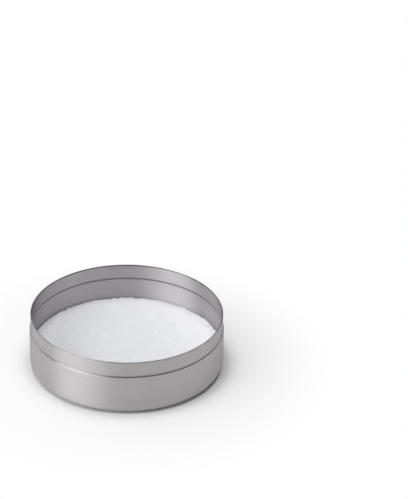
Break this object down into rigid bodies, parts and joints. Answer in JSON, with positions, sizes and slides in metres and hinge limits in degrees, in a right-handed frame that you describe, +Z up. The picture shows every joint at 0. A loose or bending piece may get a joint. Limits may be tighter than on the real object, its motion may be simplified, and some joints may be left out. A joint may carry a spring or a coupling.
{
  "type": "cocktail glass rimmer",
  "caption": "Round brushed-steel dish with a necked rim and a bed of white rimming salt, in which the rim of an upturned glass is dipped and turned.",
  "frame": {"origin": "centre of the base, on the surface that the dish stands on", "axes": "+Z up, along the axis of the dish, through the open mouth"},
  "size_m": [0.14, 0.14, 0.042],
  "materials": {
    "brushed_sheet": "satin, brushed round the wall, with a polished rim",
    "rimming_salt": "matt loose white crystals"
  },
  "bodies": {
    "root": {"dish": "brushed_sheet", "salt_bed": "rimming_salt"}
  },
  "joints": []
}
